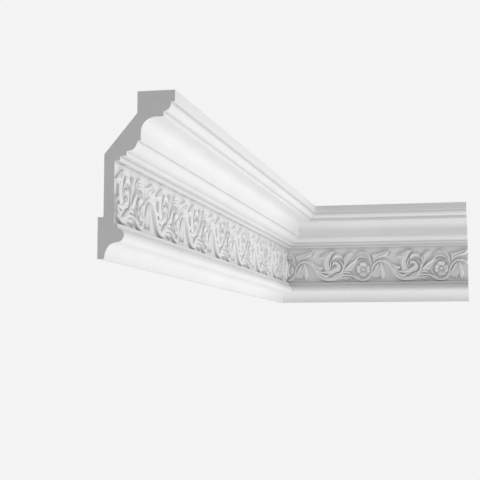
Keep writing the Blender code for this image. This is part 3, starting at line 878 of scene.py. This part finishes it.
def moulding(name, frieze, materials, start, end, cuts, turned):
    """One length as a closed solid, sawn by its cuts, put on its wall and turned at the corner.

    Each cut is a point and the direction that points away from what is kept.
    """
    bm = bmesh.new()
    bm.from_mesh(frieze)
    bpy.data.meshes.remove(frieze)
    frieze_faces = set(bm.faces)
    plain_faces(bm, start, end)
    bmesh.ops.recalc_face_normals(bm, faces=bm.faces)
    shade(bm, frieze_faces)
    for point, outward in cuts:
        cut(bm, Vector(point), Vector(outward).normalized())
    bmesh.ops.recalc_face_normals(bm, faces=bm.faces)
    for edge in bm.edges:
        if any(not face.smooth for face in edge.link_faces):
            edge.smooth = False
    bmesh.ops.triangulate(bm, faces=[face for face in bm.faces if len(face.verts) > 4])
    bm.transform(Matrix.Translation((0, CORNER_Y, TOE)) @ Matrix.Rotation(turned, 4, "Z"))
    mesh = bpy.data.meshes.new(name)
    bm.to_mesh(mesh)
    bm.free()
    for material in materials:
        mesh.materials.append(material)
    return placed(name, mesh)


def node_maker(name):
    """A new material, its shader, and two functions: one adds a node, the other links two sockets."""
    material = bpy.data.materials.new(name)
    material.use_nodes = True
    tree = material.node_tree

    def add(kind, values=None):
        """Adds a node of one kind and sets the inputs named in values."""
        node = tree.nodes.new(kind)
        for key, value in (values or {}).items():
            node.inputs[key].default_value = value
        return node

    return material, tree.nodes["Principled BSDF"], add, tree.links.new


def tone_ramp(add, darker, lighter):
    """A ramp that turns cloudy noise into a tone between two colours."""
    ramp = add("ShaderNodeValToRGB")
    for element, stop, colour in zip(ramp.color_ramp.elements, TONE_STOPS, (darker, lighter)):
        element.position = stop
        element.color = (*colour, 1)
    return ramp


def primed_skin():
    """Factory primer on a moulded foam skin: satin white and finely dimpled, with painted shade that
    darkens its colour in the recesses.
    """
    material, shader, add, link = node_maker("primed_skin")
    place = add("ShaderNodeTexCoord")
    cloud = add("ShaderNodeTexNoise", {"Scale": 9.0, "Detail": 4.0, "Roughness": 0.55})
    tone = tone_ramp(add, (0.78, 0.78, 0.782), (0.82, 0.82, 0.82))
    sheen = add("ShaderNodeMapRange", {"From Min": 0.3, "From Max": 0.7, "To Min": 0.48, "To Max": 0.60})
    # Painted shade: ambient occlusion darkens the base colour in recesses and under overhangs, down to
    # 0.62 of the primer's tone
    recess = add("ShaderNodeAmbientOcclusion", {"Distance": 0.008})
    recess.only_local = True
    recess.samples = 8
    painted_shade = add("ShaderNodeMapRange", {"From Min": 0.30, "From Max": 0.92, "To Min": 0.62, "To Max": 1.0})
    reduced = add("ShaderNodeVectorMath")
    reduced.operation = "SCALE"
    grain = add("ShaderNodeTexNoise", {"Scale": 700.0, "Detail": 3.0, "Roughness": 0.6})
    bump = add("ShaderNodeBump", {"Strength": 0.12, "Distance": 0.0004})
    for texture in (cloud, grain):
        link(place.outputs["Object"], texture.inputs["Vector"])
    link(cloud.outputs["Fac"], tone.inputs["Fac"])
    link(recess.outputs["AO"], painted_shade.inputs["Value"])
    link(tone.outputs["Color"], reduced.inputs["Vector"])
    link(painted_shade.outputs["Result"], reduced.inputs["Scale"])
    link(reduced.outputs["Vector"], shader.inputs["Base Color"])
    link(cloud.outputs["Fac"], sheen.inputs["Value"])
    link(sheen.outputs["Result"], shader.inputs["Roughness"])
    link(grain.outputs["Fac"], bump.inputs["Height"])
    link(bump.outputs["Normal"], shader.inputs["Normal"])
    return material


def sawn_foam():
    """The sawn ends: bare close-celled foam with the saw's fine lines, its tone set lighter than the
    primer's as painted light for the end face.
    """
    material, shader, add, link = node_maker("sawn_foam")
    place = add("ShaderNodeTexCoord")
    cells = add("ShaderNodeTexVoronoi", {"Scale": 1400.0})
    cloud = add("ShaderNodeTexNoise", {"Scale": 45.0, "Detail": 5.0})
    saw = add("ShaderNodeTexWave", {"Scale": 160.0, "Distortion": 1.2, "Detail": 2.0})
    saw.bands_direction = "Z"
    # Partly painted light: the foam's own tone is raised above the primer's to brighten the end face,
    # which gets little lamp light
    tone = tone_ramp(add, (0.86, 0.865, 0.865), (0.91, 0.915, 0.915))
    cell_bump = add("ShaderNodeBump", {"Strength": 0.25, "Distance": 0.0004})
    saw_bump = add("ShaderNodeBump", {"Strength": 0.10, "Distance": 0.0003})
    for texture in (cells, cloud, saw):
        link(place.outputs["Object"], texture.inputs["Vector"])
    link(cloud.outputs["Fac"], tone.inputs["Fac"])
    link(tone.outputs["Color"], shader.inputs["Base Color"])
    link(saw.outputs["Fac"], saw_bump.inputs["Height"])
    link(cells.outputs["Distance"], cell_bump.inputs["Height"])
    link(saw_bump.outputs["Normal"], cell_bump.inputs["Normal"])
    link(cell_bump.outputs["Normal"], shader.inputs["Normal"])
    shader.inputs["Roughness"].default_value = 0.85
    return material


def camera():
    """The photograph's camera."""
    data = bpy.data.cameras.new("camera")
    data.lens = CAMERA_LENS
    data.sensor_width = SENSOR
    data.clip_start = 0.01
    obj = placed("camera", data)
    yaw, pitch = CAMERA_YAW, CAMERA_PITCH
    forward = Vector((math.sin(yaw) * math.cos(pitch), math.cos(yaw) * math.cos(pitch), math.sin(pitch)))
    level = Vector((math.cos(yaw), -math.sin(yaw), 0))
    rise = level.cross(forward)
    right = math.cos(CAMERA_ROLL) * level + math.sin(CAMERA_ROLL) * rise
    up = -math.sin(CAMERA_ROLL) * level + math.cos(CAMERA_ROLL) * rise
    turn = Matrix((right, up, -forward)).transposed().to_4x4()
    ceiling_corner = Vector((0, CORNER_Y, TOE + HEIGHT))
    obj.matrix_world = Matrix.Translation(ceiling_corner + CAMERA_FROM_CORNER * HEIGHT) @ turn
    bpy.context.scene.camera = obj


def lamp(name, azimuth, elevation, power):
    """A round soft light aimed at the middle; azimuth 0 is the camera's side, 90 the right."""
    data = bpy.data.lights.new(name, "AREA")
    data.shape = "DISK"
    data.size = LAMP_DIAMETER
    data.energy = power
    obj = placed(name, data)
    turn, rise = math.radians(azimuth), math.radians(elevation)
    towards = Vector((math.sin(turn) * math.cos(rise), -math.cos(turn) * math.cos(rise), math.sin(rise)))
    obj.location = Vector((LIP_REACH, 0, TOE + HEIGHT / 2)) + towards * LAMP_DISTANCE
    obj.rotation_euler = (-towards).to_track_quat("-Z", "Y").to_euler()


def surroundings():
    """Dim even surroundings that brighten to a pale backdrop behind the moulding."""
    world = bpy.data.worlds.new("studio")
    world.use_nodes = True
    tree = world.node_tree
    place = tree.nodes.new("ShaderNodeTexCoord")
    apart = tree.nodes.new("ShaderNodeSeparateXYZ")
    level = tree.nodes.new("ShaderNodeMapRange")
    level.interpolation_type = "SMOOTHSTEP"
    level.inputs["From Min"].default_value = BACKDROP_START
    level.inputs["From Max"].default_value = BACKDROP_FULL
    level.inputs["To Min"].default_value = AMBIENT
    level.inputs["To Max"].default_value = AMBIENT + BACKDROP
    tree.links.new(place.outputs["Generated"], apart.inputs["Vector"])
    tree.links.new(apart.outputs["Y"], level.inputs["Value"])
    tree.links.new(level.outputs["Result"], tree.nodes["Background"].inputs["Strength"])
    tree.nodes["Background"].inputs["Color"].default_value = (1, 1, 1, 1)
    bpy.context.scene.world = world


def floor():
    """A plain pale floor, well below the moulding, lit from beneath like a light table."""
    bm = bmesh.new()
    bmesh.ops.create_circle(bm, cap_ends=True, segments=FLOOR_SIDES, radius=FLOOR_RADIUS)
    mesh = bpy.data.meshes.new("floor")
    bm.to_mesh(mesh)
    bm.free()
    material, shader, _, _ = node_maker("pale_floor")
    shader.inputs["Base Color"].default_value = (0.90, 0.90, 0.90, 1)
    shader.inputs["Emission Color"].default_value = (1, 1, 1, 1)
    shader.inputs["Emission Strength"].default_value = FLOOR_GLOW
    shader.inputs["Roughness"].default_value = 0.9
    mesh.materials.append(material)
    obj = placed("floor", mesh)
    obj.location.z = TOE - FLOOR_DROP


def studio():
    """Surroundings, floor and soft lamps, shown in plain colours."""
    surroundings()
    floor()
    for name, azimuth, elevation, power in LAMPS:
        lamp(name, azimuth, elevation, power)
    bpy.context.scene.view_settings.view_transform = "Standard"


def left_length(heights, materials):
    """The long length on the left wall, from its square end to the mitre."""
    start, end = -LEFT_LENGTH - SPARE_LENGTH, SPARE_LENGTH
    frieze = patch_mesh("left_frieze", heights, LEFT_CREST, start, end, -LEFT_LENGTH, LEFT_FACES)
    square = ((0, SAW_ALLOWANCE - LEFT_LENGTH, 0), (0, -1, 0))
    mitre = ((0, -MITRE_SHIFT, 0), (1, 1, 0))
    return moulding("left_length", frieze, materials, start, end, (square, mitre), 0.0)


def back_length(heights, materials):
    """The short length, made like the other and turned onto the back wall."""
    start, end = -SPARE_LENGTH, BACK_LENGTH + SPARE_LENGTH
    frieze = patch_mesh("back_frieze", heights, BACK_CREST, start, end, BACK_LENGTH, BACK_FACES)
    square = ((0, BACK_LENGTH - SAW_ALLOWANCE, 0), (0, 1, 0))
    mitre = ((0, MITRE_SHIFT, 0), (1, -1, 0))
    return moulding("back_length", frieze, materials, start, end, (square, mitre), math.radians(-90))


def main():
    """Both lengths in the frame, then the camera and the studio."""
    heights = field()
    materials = (primed_skin(), sawn_foam())
    left = left_length(heights, materials)
    right = back_length(heights, materials)
    for piece, node in ((left, "left_run"), (right, "back_run")):
        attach(piece, "root")
        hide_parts(node)
    camera()
    studio()


main()
